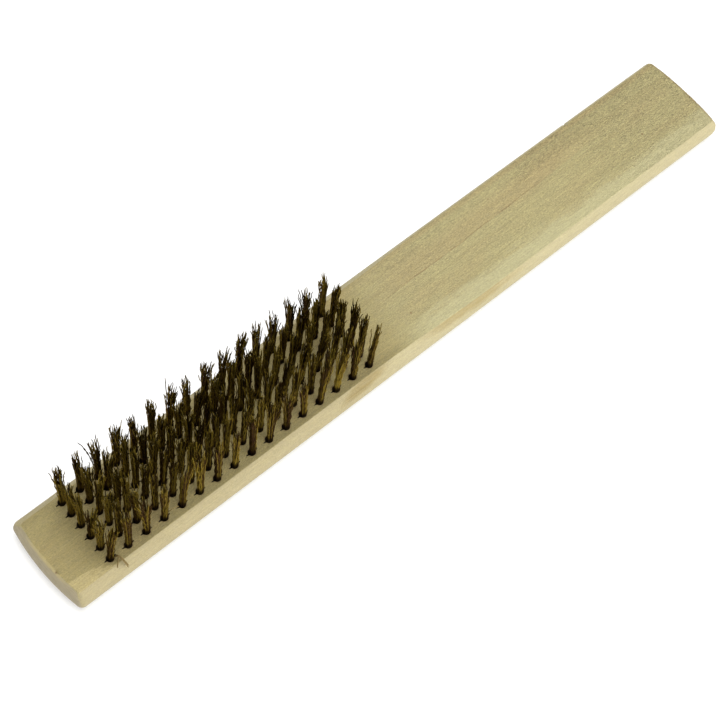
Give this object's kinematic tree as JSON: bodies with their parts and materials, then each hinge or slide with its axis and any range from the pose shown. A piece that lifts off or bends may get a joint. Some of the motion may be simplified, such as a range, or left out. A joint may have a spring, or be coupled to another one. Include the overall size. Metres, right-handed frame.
{
  "type": "wire brush",
  "caption": "Flat wooden wire brush: a planed block with a bare grip and a field of brass-coated wire tufts in rows over half its length.",
  "frame": {"origin": "middle of the block's flat back, which is the middle of the bounding box's bottom", "axes": "+X along the block towards the bare grip, +Z the way the wires stand, +Y across the block"},
  "size_m": [0.2622, 0.0324, 0.0335],
  "materials": {
    "wood": "pale unfinished hardwood, planed, with fine lengthwise grain",
    "wire": "thin steel wire with a dull, darkened brass coating"
  },
  "bodies": {
    "root": {"handle_block": "wood", "tuft_pair_col01_rows12": "wire", "tuft_pair_col01_rows34": "wire", "tuft_pair_col01_rows56": "wire", "tuft_pair_col02_rows12": "wire", "tuft_pair_col02_rows34": "wire", "tuft_pair_col02_rows56": "wire", "tuft_pair_col03_rows12": "wire", "tuft_pair_col03_rows34": "wire", "tuft_pair_col03_rows56": "wire", "tuft_pair_col04_rows12": "wire", "tuft_pair_col04_rows34": "wire", "tuft_pair_col04_rows56": "wire", "tuft_pair_col05_rows12": "wire", "tuft_pair_col05_rows34": "wire", "tuft_pair_col05_rows56": "wire", "tuft_pair_col06_rows12": "wire", "tuft_pair_col06_rows34": "wire", "tuft_pair_col06_rows56": "wire", "tuft_pair_col07_rows12": "wire", "tuft_pair_col07_rows34": "wire", "tuft_pair_col07_rows56": "wire", "tuft_pair_col08_rows12": "wire", "tuft_pair_col08_rows34": "wire", "tuft_pair_col08_rows56": "wire", "tuft_pair_col09_rows12": "wire", "tuft_pair_col09_rows34": "wire", "tuft_pair_col09_rows56": "wire", "tuft_pair_col10_rows12": "wire", "tuft_pair_col10_rows34": "wire", "tuft_pair_col10_rows56": "wire", "tuft_pair_col11_rows12": "wire", "tuft_pair_col11_rows34": "wire", "tuft_pair_col11_rows56": "wire", "tuft_pair_col12_rows12": "wire", "tuft_pair_col12_rows34": "wire", "tuft_pair_col12_rows56": "wire", "tuft_pair_col13_rows12": "wire", "tuft_pair_col13_rows34": "wire", "tuft_pair_col13_rows56": "wire", "tuft_pair_col14_rows12": "wire", "tuft_pair_col14_rows34": "wire", "tuft_pair_col14_rows56": "wire", "tuft_pair_col15_rows12": "wire", "tuft_pair_col15_rows34": "wire", "tuft_pair_col15_rows56": "wire", "tuft_pair_col16_rows12": "wire", "tuft_pair_col16_rows34": "wire", "tuft_pair_col16_rows56": "wire"}
  },
  "joints": []
}
